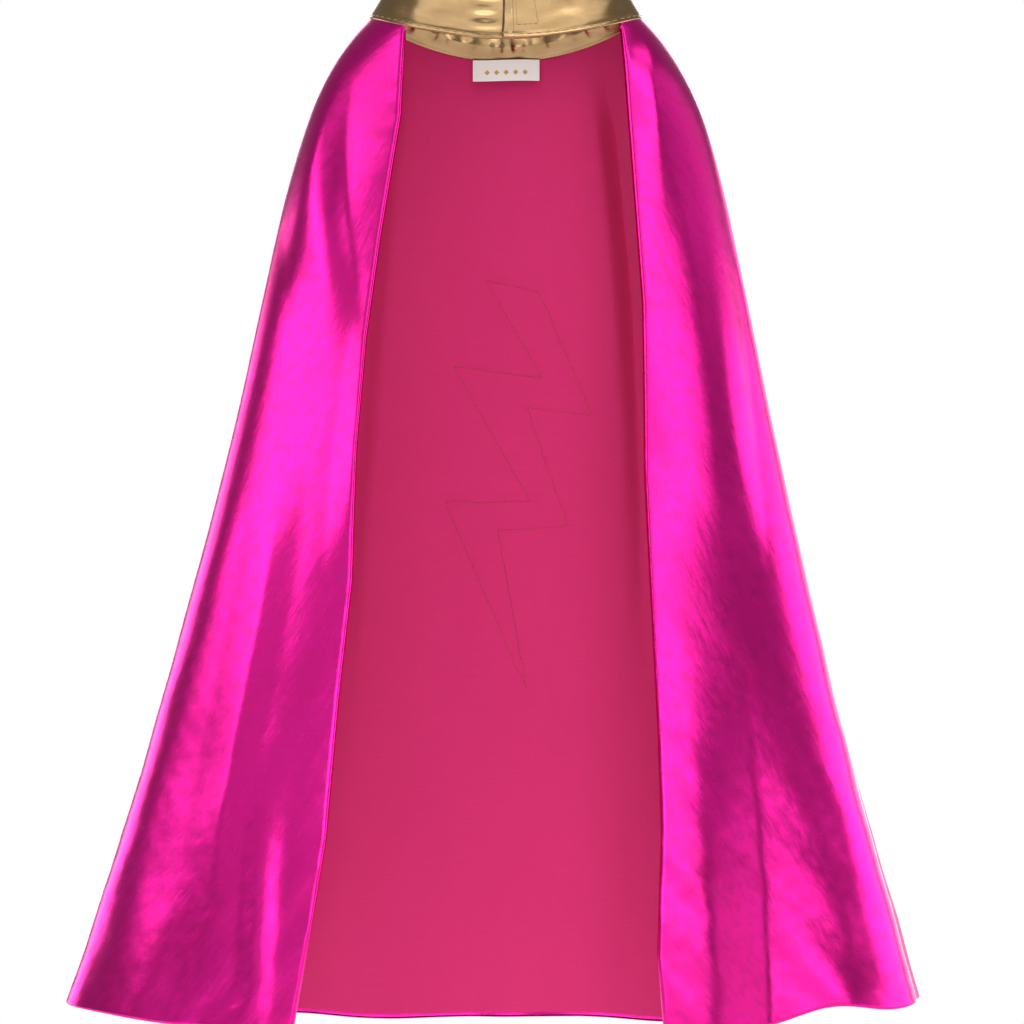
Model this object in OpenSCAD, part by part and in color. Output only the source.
// Short lined cape with a stand collar that closes over the throat.
// The open front faces -Y, the back is +Y, and the wearer's left is +X.
// The origin is the middle of the neck, level with the side neck points.
// The cloth layers are plain thin solids with the true size and place.

/* [Cape body] */
// Height from the side neck points down to the hem at the sides
side_len = 608; // [450:1:800]
// How much lower the hem hangs at the centre back
back_drop = 19; // [0:1:40]
// How much lower the hem hangs towards the front edges
front_drop = 16; // [0:1:40]
// Half the width of the hung cape at the hem
hem_half_w = 264; // [210:1:340]
// Depth from the middle plane to the centre back at the hem
hem_back_d = 58; // [45:1:90]
// Squareness of the hem section, where 2 is an oval
hem_square = 2.4; // [2:0.1:3]
// How far the hem hangs over towards the wearer's right
hem_drift = 9; // [0:1:20]
// Half width that the cape gains as it rounds the shoulders
shoulder_w = 35; // [20:1:50]
// Height over which the shoulders round off
shoulder_drop = 42; // [25:1:70]
// Share of the flare that comes as a curve towards the hem
flare_bow = 0.35; // [0:0.05:0.6]

/* [Front panels] */
// Distance of the wearer's left front edge from the middle, at the neck
left_edge_neck = 71; // [60:1:76]
// Distance of the wearer's right front edge from the middle, at the neck
right_edge_neck = 62; // [54:1:74]
// Distance of the wearer's left front edge from the middle, at the hem
left_edge_hem = 96; // [80:1:120]
// Distance of the wearer's right front edge from the middle, at the hem
right_edge_hem = 131; // [100:1:150]
// Distance from the side of the hem to the crease that a panel swings on
crease_in = 33; // [25:1:60]
// Depth of the creases in front of the middle plane at the hem
hem_crease_y = 36; // [25:1:45]
// Distance below the neck at which a panel comes free of the body
panel_start = 15; // [10:1:40]

/* [Collar] */
// Half width of the collar at its lower edge
collar_half_w = 86; // [80:1:100]
// Half depth of the collar at its lower edge
collar_half_d = 50; // [44:1:64]
// Half width of the collar at its upper edge
collar_top_half_w = 64; // [56:1:76]
// Half depth of the collar at its upper edge
collar_top_half_d = 35; // [32:1:50]
// Height of the collar band
collar_h = 36; // [28:1:50]
// How far the band dips at the centre back
neck_dip_back = 21; // [8:1:26]
// How far the band dips at the centre front
neck_dip_front = 17; // [8:1:24]

/* [Closure] */
// Where the over strap ends, measured from the middle to the wearer's right
over_end_x = 2; // [-5:1:12]
// Where the under strap ends, measured from the middle to the wearer's left
under_end_x = 24; // [18:1:34]
// Width of the turned end of the over strap
end_turn = 6; // [4:0.5:8]
// Width of the hook patch and the loop patch
patch_w = 15; // [10:1:18]
// Height of the hook patch and the loop patch
patch_h = 22; // [14:1:26]
// Thickness of the hook tape
hook_t = 1.0; // [0.6:0.1:1.6]
// Thickness of the loop tape
loop_t = 1.0; // [0.6:0.1:1.6]

/* [Cloth] */
// Thickness of the foil shell fabric
shell_t = 0.6; // [0.4:0.1:1]
// Thickness of the lining fabric
lining_t = 0.5; // [0.3:0.1:0.9]
// Thickness of the collar's foil fabric
band_t = 0.6; // [0.4:0.1:1]
// How much shorter the lining is at the hem
lining_up = 3; // [1:1:8]
// How far the lining stays back from the front edges
lining_back = 1.5; // [0.5:0.5:4]
// Height of the neck seam allowance inside the collar
seam_allowance = 7; // [4:1:10]

/* [Bolt] */
// Height of the lightning bolt on the back
bolt_h = 260; // [160:1:320]
// Distance of its top below the side neck points
bolt_top = 158; // [130:1:190]
// Thickness of the applique fabric
bolt_t = 0.5; // [0.3:0.1:0.8]
// Width of the satin stitch round it
satin_w = 3.2; // [2:0.1:5]

/* [Label] */
// Width of the woven label
label_w = 42; // [25:1:60]
// Height of the woven label
label_h = 11; // [8:1:20]
// Thickness of the woven label
label_t = 0.5; // [0.3:0.1:0.8]

/* [Stitches] */
// Spacing of the topstitching
stitch_pitch = 5; // [4:0.5:8]
// Length of one stitch
stitch_len = 3.4; // [2:0.1:4]
// Thickness of the thread
thread_t = 0.4; // [0.3:0.1:0.6]
// Distance of the topstitching from the edge of the band
stitch_in = 2.5; // [2:0.1:5]

/* [Hidden] */

// Sides of the cape, as signs of X
LEFT = 1;
RIGHT = -1;

// Gap between two layers of cloth
layer_gap = 0.3;
// Gap between pieces that move against each other
move_gap = 0.7;
// Gap between thread, a patch or an applique and the curved cloth under it
laid_gap = 0.15;

// Depths of the layers below the outer face of the cape or of the collar
lining_in = shell_t + layer_gap;
seam_in = band_t + layer_gap;
core_t = lining_in + lining_t;
facing_in = seam_in + core_t + layer_gap;
band_total = facing_in + band_t;
under_in = band_total + laid_gap + hook_t + layer_gap + loop_t + laid_gap;

// The cape leaves the collar from under its outer band
neck_half_w = collar_half_w - seam_in;
neck_half_d = collar_half_d - seam_in;
allowance_w = seam_allowance / collar_h;

// Number of facets
body_rows = 14;
body_cols = 40;
panel_cols = 8;
band_rows = 2;
band_step = 4;

function lerp(a, b, t) = a + (b - a) * t;
function ease(t) = t <= 0 ? 0 : t >= 1 ? 1 : t * t * (3 - 2 * t);
function signed_pow(x, p) = sign(x) * pow(abs(x), p);
function flat(rows) = [for (row = rows) for (p = row) p];

// Closed solid between an outer and an inner grid of points, rows going down
module cloth(outer, inner) {
    rows = len(outer);
    cols = len(outer[0]);
    size = rows * cols;
    function id(i, j, side) = side * size + i * cols + j;
    skin = [
        for (i = [0:rows - 2]) for (j = [0:cols - 2]) each [
            [id(i, j, 0), id(i, j + 1, 0), id(i + 1, j + 1, 0)],
            [id(i, j, 0), id(i + 1, j + 1, 0), id(i + 1, j, 0)],
            [id(i, j, 1), id(i + 1, j + 1, 1), id(i, j + 1, 1)],
            [id(i, j, 1), id(i + 1, j, 1), id(i + 1, j + 1, 1)]
        ]
    ];
    ends = [
        for (j = [0:cols - 2]) each [
            [id(0, j, 0), id(0, j, 1), id(0, j + 1, 1)],
            [id(0, j, 0), id(0, j + 1, 1), id(0, j + 1, 0)],
            [id(rows - 1, j, 0), id(rows - 1, j + 1, 1), id(rows - 1, j, 1)],
            [id(rows - 1, j, 0), id(rows - 1, j + 1, 0), id(rows - 1, j + 1, 1)]
        ]
    ];
    sides = [
        for (i = [0:rows - 2]) each [
            [id(i, 0, 0), id(i + 1, 0, 1), id(i, 0, 1)],
            [id(i, 0, 0), id(i + 1, 0, 0), id(i + 1, 0, 1)],
            [id(i, cols - 1, 0), id(i, cols - 1, 1), id(i + 1, cols - 1, 1)],
            [id(i, cols - 1, 0), id(i + 1, cols - 1, 1), id(i + 1, cols - 1, 0)]
        ]
    ];
    polyhedron(points = concat(flat(outer), flat(inner)), faces = concat(skin, ends, sides));
}

// ---- Shape of the collar ----
// Angles run round the neck: 0 at the wearer's left, 90 at the centre back,
// 180 at the wearer's right and -90 or 270 at the centre front.
function neck_z(phi) = -(sin(phi) > 0 ? neck_dip_back : neck_dip_front) * pow(sin(phi), 2);
function collar_point(phi, w, depth) = [
    (lerp(collar_half_w, collar_top_half_w, w) - depth) * cos(phi),
    (lerp(collar_half_d, collar_top_half_d, w) - depth) * sin(phi),
    neck_z(phi) + w * collar_h
];

// Angle of the collar at a distance x from the middle, on the front
function front_angle(x) = -acos(x / collar_half_w);
// Angle that a length along the front of the band takes up
function arc_angle(length) = length / collar_half_w * 180 / PI;
// Angles at even steps along the band, from angle to angle
function arc_speed(phi, w) = PI / 180 * norm([
    lerp(collar_half_w, collar_top_half_w, w) * sin(phi),
    lerp(collar_half_d, collar_top_half_d, w) * cos(phi)
]);
function even_angles(phi, to, w) = phi >= to ? []
    : concat([phi], even_angles(phi + stitch_pitch / arc_speed(phi, w), to, w));

left_edge_phi = front_angle(left_edge_neck);
right_edge_phi = front_angle(-right_edge_neck) + 360;
over_end_phi = front_angle(-over_end_x);
under_end_phi = front_angle(under_end_x);
under_start_phi = right_edge_phi - 360;
split_phi = arc_angle(move_gap);

// The under strap steps in below the over strap on its way to the overlap
ramp_end_phi = over_end_phi - arc_angle(8);
function under_depth(phi) = under_in * ease((phi - under_start_phi) / (ramp_end_phi - under_start_phi));

function angles(from, to) = let (n = ceil(abs(to - from) / band_step))
    [for (k = [0:n]) lerp(from, to, k / n)];

// One layer of the collar from angle to angle, between two depths and two heights
module band(from, to, depth, thick, low = 0, high = 1, stepped = false) {
    function layer(d) = [
        for (i = [0:band_rows]) [
            for (phi = angles(from, to))
                collar_point(phi, lerp(high, low, i / band_rows), d + (stepped ? under_depth(phi) : 0))
        ]
    ];
    cloth(layer(depth), layer(depth + thick));
}

// A short stitch on a face of the collar
module stitch(phi, w, depth, upright = false, stepped = false) {
    reach = 0.5;
    function at(f, h) = collar_point(f, h, depth + (stepped ? under_depth(f) : 0));
    p = at(phi, w);
    q = at(phi + reach, w);
    up = at(phi, w + 0.1) - p;
    along = upright ? up : q - p;
    yaw = atan2(along[1], along[0]);
    pitch = -atan2(along[2], norm([along[0], along[1]]));
    translate(p) rotate([0, pitch, yaw]) cube([stitch_len, thread_t, thread_t], center = true);
}

// A row of stitches along an edge of the band
module stitch_row(from, to, w, depth, stepped = false) {
    inset = arc_angle(stitch_pitch / 2);
    for (phi = even_angles(from + inset, to - inset, w)) stitch(phi, w, depth, stepped = stepped);
}

// A column of stitches across the band
module stitch_column(phi, low, high, depth, stepped = false) {
    n = floor((high - low) * collar_h / stitch_pitch);
    for (k = [0:n - 1]) stitch(phi, lerp(low, high, (k + 0.5) / n), depth, true, stepped);
}

thread_out = -laid_gap - thread_t / 2;
stitch_low = stitch_in / collar_h;
stitch_high = 1 - stitch_low;

// Place of the patches on the band
patch_low = (collar_h - patch_h) / 2 / collar_h;
patch_high = 1 - patch_low;
patch_mid_phi = (over_end_phi + arc_angle(end_turn) + under_end_phi) / 2;
patch_from = patch_mid_phi - arc_angle(patch_w) / 2;
patch_to = patch_mid_phi + arc_angle(patch_w) / 2;
patch_edge_w = 1.5 / collar_h;
patch_edge_phi = arc_angle(1.5);

// ---- Shape of the cape ----
// v runs from 0 at the neck to 1 at the hem.
function half_w(v) = neck_half_w + shoulder_w * (1 - exp(-v * side_len / shoulder_drop))
    + (hem_half_w - neck_half_w - shoulder_w) * lerp(v, v * v, flare_bow);
function mid_x(v) = -hem_drift * v * v;
function square(v) = lerp(2, hem_square, v);
function back_d(v) = lerp(neck_half_d, hem_back_d, v);
function hem_z(phi) = -side_len - (sin(phi) > 0 ? back_drop : front_drop) * pow(sin(phi), 2);

function edge_neck(side) = side == LEFT ? left_edge_neck : right_edge_neck;
function edge_hem(side) = side == LEFT ? left_edge_hem : right_edge_hem;
function crease_x(side, v) = lerp(side * edge_neck(side), mid_x(1) + side * (hem_half_w - crease_in), v);
function edge_x(side, v) = side * lerp(edge_neck(side), edge_hem(side), v);

// Angle in front of the side at which the section at v passes x
function section_angle(side, x, v) = acos(pow(side * (x - mid_x(v)) / half_w(v), square(v) / 2));
function turn(side, angle) = side == LEFT ? -angle : 180 + angle;

// The front is as deep as it takes to keep each crease on a straight line
function neck_crease_y(side) = neck_half_d * sin(section_angle(side, crease_x(side, 0), 0));
function crease_y(side, v) = lerp(neck_crease_y(side), hem_crease_y, v);
function front_d(side, v) = crease_y(side, v)
    / pow(sin(section_angle(side, crease_x(side, v), v)), 2 / square(v));

// A point of the cape on the section at v, at an angle and a depth
function cape_xy(phi, v, depth) = let (
        side = cos(phi) >= 0 ? LEFT : RIGHT,
        deep = sin(phi) >= 0 ? back_d(v) : front_d(side, v),
        p = 2 / square(v)
    ) [
        mid_x(v) + (half_w(v) - depth) * signed_pow(cos(phi), p),
        (deep - depth) * signed_pow(sin(phi), p)
    ];

// The body runs from the left crease (s = 0) round the back to the right one
function body_angle(s, v) = let (
        off = move_gap / 2,
        left = section_angle(LEFT, crease_x(LEFT, v) + off, v),
        right = section_angle(RIGHT, crease_x(RIGHT, v) - off, v)
    ) lerp(turn(LEFT, left), turn(RIGHT, right), s);
function body_point(s, v, depth) = let (
        xy = cape_xy(body_angle(s, v), v, depth),
        z = lerp(neck_z(body_angle(s, 0)), hem_z(body_angle(s, 1)), v)
    ) [xy[0], xy[1], z];
function allowance_point(s, depth) = collar_point(body_angle(s, 0), allowance_w, seam_in + depth);

// Rows lie closer together round the shoulders, and the last one can stop short of the hem
row_power = 1.6;
function row_v(i, short) = pow(i / body_rows, row_power) * (1 - short / side_len);
function row_at(v) = body_rows * pow(v, 1 / row_power);
function body_grid(depth, short) = [
    for (i = [-1:body_rows]) [
        for (j = [0:body_cols])
            i < 0 ? allowance_point(j / body_cols, depth)
                  : body_point(j / body_cols, row_v(i, short), depth)
    ]
];

// A front panel runs from its crease (t = 0) to its front edge (t = 1)
function panel_point(side, t, v, depth, edge_back) = let (
        from = crease_x(side, v) - side * move_gap / 2,
        to = edge_x(side, v) + side * edge_back,
        x = lerp(from, to, t),
        phi = turn(side, section_angle(side, x, v)),
        hem_x = lerp(crease_x(side, 1), edge_x(side, 1), t),
        hem_phi = turn(side, section_angle(side, hem_x, 1)),
        neck_phi = turn(side, section_angle(side, crease_x(side, 0), 0)),
        xy = cape_xy(phi, v, depth)
    ) [xy[0], xy[1], lerp(neck_z(neck_phi), hem_z(hem_phi), v)];
function panel_grid(side, depth, short, edge_back) = let (
        start = panel_start / side_len,
        cols = side == LEFT ? [panel_cols:-1:0] : [0:panel_cols]
    ) [
        for (i = [0:body_rows]) [
            for (j = cols)
                panel_point(side, j / panel_cols, start + row_v(i, panel_start + short), depth, edge_back)
        ]
    ];

module body_layer(depth, thick, short = 0) {
    cloth(body_grid(depth, short), body_grid(depth + thick, short));
}
module panel_layer(side, depth, thick, short = 0, edge_back = 0) {
    cloth(panel_grid(side, depth, short, edge_back), panel_grid(side, depth + thick, short, edge_back));
}

module back_shell() {
    color([0.93, 0.07, 0.66]) body_layer(0, shell_t);
}
module back_lining() {
    color([0.78, 0.17, 0.41]) body_layer(lining_in, lining_t, lining_up);
}
module left_front_shell() {
    color([0.93, 0.07, 0.66]) panel_layer(LEFT, 0, shell_t);
}
module left_front_lining() {
    color([0.78, 0.17, 0.41]) panel_layer(LEFT, lining_in, lining_t, lining_up, lining_back);
}
module right_front_shell() {
    color([0.93, 0.07, 0.66]) panel_layer(RIGHT, 0, shell_t);
}
module right_front_lining() {
    color([0.78, 0.17, 0.41]) panel_layer(RIGHT, lining_in, lining_t, lining_up, lining_back);
}

// ---- Collar round the back and the sides ----
module collar_outer() {
    color([0.80, 0.66, 0.42]) band(left_edge_phi, right_edge_phi, 0, band_t);
}
module collar_facing() {
    color([0.80, 0.66, 0.42]) band(left_edge_phi, right_edge_phi, facing_in, band_t);
}
// The stiffener stands on top of the neck seam allowance
module collar_interlining() {
    color([0.92, 0.90, 0.84])
        band(left_edge_phi, right_edge_phi, seam_in, core_t, allowance_w + layer_gap / collar_h,
             1 - layer_gap / collar_h);
}
module collar_topstitch() {
    color([0.62, 0.46, 0.22]) {
        stitch_row(left_edge_phi, right_edge_phi, stitch_low, thread_out);
        stitch_row(left_edge_phi, right_edge_phi, stitch_high, thread_out);
    }
}

// ---- Over strap, on the wearer's left ----
over_from = over_end_phi;
over_to = left_edge_phi - split_phi;
module over_strap_outer() {
    color([0.80, 0.66, 0.42]) band(over_from, over_to, 0, band_t);
}
module over_strap_facing() {
    color([0.80, 0.66, 0.42]) band(over_from, over_to, facing_in, band_t);
}
module over_strap_interlining() {
    color([0.92, 0.90, 0.84])
        band(over_from + split_phi, over_to, seam_in, core_t, layer_gap / collar_h, 1 - layer_gap / collar_h);
}
module over_strap_topstitch() {
    end_phi = over_from + arc_angle(end_turn);
    color([0.62, 0.46, 0.22]) {
        stitch_row(end_phi, over_to, stitch_low, thread_out);
        stitch_row(end_phi, over_to, stitch_high, thread_out);
        stitch_column(end_phi - arc_angle(thread_t), stitch_low, stitch_high, thread_out);
    }
}
module hook_patch() {
    color([0.86, 0.84, 0.78])
        band(patch_from, patch_to, band_total + laid_gap, hook_t, patch_low, patch_high);
}
// The patch seam shows as a stitched box on the outer face
module hook_patch_stitch() {
    color([0.62, 0.46, 0.22]) patch_box(thread_out);
}
module patch_box(depth, stepped = false) {
    low = patch_low + patch_edge_w;
    high = patch_high - patch_edge_w;
    from = patch_from + patch_edge_phi;
    to = patch_to - patch_edge_phi;
    stitch_row(from, to, low, depth, stepped);
    stitch_row(from, to, high, depth, stepped);
    stitch_column(from - patch_edge_phi / 2, low, high, depth, stepped);
    stitch_column(to + patch_edge_phi / 2, low, high, depth, stepped);
}

// ---- Under strap, on the wearer's right ----
under_from = under_start_phi + split_phi;
under_to = under_end_phi;
module under_strap_outer() {
    color([0.80, 0.66, 0.42]) band(under_from, under_to, 0, band_t, stepped = true);
}
module under_strap_facing() {
    color([0.80, 0.66, 0.42]) band(under_from, under_to, facing_in, band_t, stepped = true);
}
module under_strap_interlining() {
    color([0.92, 0.90, 0.84])
        band(under_from, under_to - split_phi, seam_in, core_t, layer_gap / collar_h,
             1 - layer_gap / collar_h, true);
}
module under_strap_topstitch() {
    color([0.62, 0.46, 0.22]) {
        stitch_row(under_from, under_to, stitch_low, thread_out, true);
        stitch_row(under_from, under_to, stitch_high, thread_out, true);
    }
}
module loop_patch() {
    color([0.86, 0.84, 0.78])
        band(patch_from, patch_to, -laid_gap - loop_t, loop_t, patch_low, patch_high, true);
}
module loop_patch_stitch() {
    color([0.62, 0.46, 0.22]) patch_box(band_total - thread_out, true);
}

// ---- Lightning bolt on the back ----
// Outline in hundredths of the height, from the upper left corner
bolt_outline = [
    [-5, 0], [8, -3], [21, -33], [5, -31], [15, -60], [-2, -61],
    [5, -100], [-15, -54], [6, -54], [-13, -21], [9, -24]
];
module bolt_shape() {
    polygon([for (p = bolt_outline) p * bolt_h / 100]);
}
// The stretch of the back that carries the bolt, on the same facets as the shell
module bolt_layer(depth, thick) {
    margin = 12;
    top = row_at((bolt_top - neck_dip_back - margin) / side_len);
    low = row_at((bolt_top + bolt_h + margin) / side_len);
    first = floor(body_cols * 0.28);
    function layer(d) = [
        for (i = [floor(top):ceil(low)]) [
            for (j = [first:body_cols - first]) body_point(j / body_cols, row_v(i, 0), d)
        ]
    ];
    cloth(layer(depth), layer(depth + thick));
}
module through_back() {
    reach = hem_back_d * 2;
    translate([0, reach, -bolt_top]) rotate([90, 0, 0]) linear_extrude(reach) children();
}
module bolt_applique() {
    color([0.84, 0.68, 0.36]) intersection() {
        bolt_layer(-laid_gap - bolt_t, bolt_t);
        through_back() bolt_shape();
    }
}
module bolt_band(width) {
    difference() {
        offset(delta = width / 2) bolt_shape();
        offset(delta = -width / 2) bolt_shape();
    }
}
module bolt_satin_stitch() {
    color([0.72, 0.55, 0.26]) intersection() {
        bolt_layer(-laid_gap * 2 - bolt_t - thread_t, thread_t);
        through_back() bolt_band(satin_w);
    }
}
// The row of thread that comes through on the lining
module bolt_inner_stitch() {
    color([0.70, 0.13, 0.36]) intersection() {
        bolt_layer(lining_in + lining_t + laid_gap, thread_t);
        through_back() bolt_band(satin_w / 3);
    }
}

// ---- Woven label at the centre back ----
// It hangs from the neck seam, flat and clear of the curved lining.
module neck_label() {
    below = 1;
    half = label_w / 2 / collar_half_w;
    inner_d = collar_half_d - band_total;
    y = inner_d * sqrt(1 - half * half) - layer_gap - label_t;
    color([0.93, 0.92, 0.90])
        translate([-label_w / 2, y, -neck_dip_back - below - label_h]) cube([label_w, label_t, label_h]);
}

back_shell();
back_lining();
left_front_shell();
left_front_lining();
right_front_shell();
right_front_lining();
collar_outer();
collar_facing();
collar_interlining();
collar_topstitch();
over_strap_outer();
over_strap_facing();
over_strap_interlining();
over_strap_topstitch();
hook_patch();
hook_patch_stitch();
under_strap_outer();
under_strap_facing();
under_strap_interlining();
under_strap_topstitch();
loop_patch();
loop_patch_stitch();
bolt_applique();
bolt_satin_stitch();
bolt_inner_stitch();
neck_label();
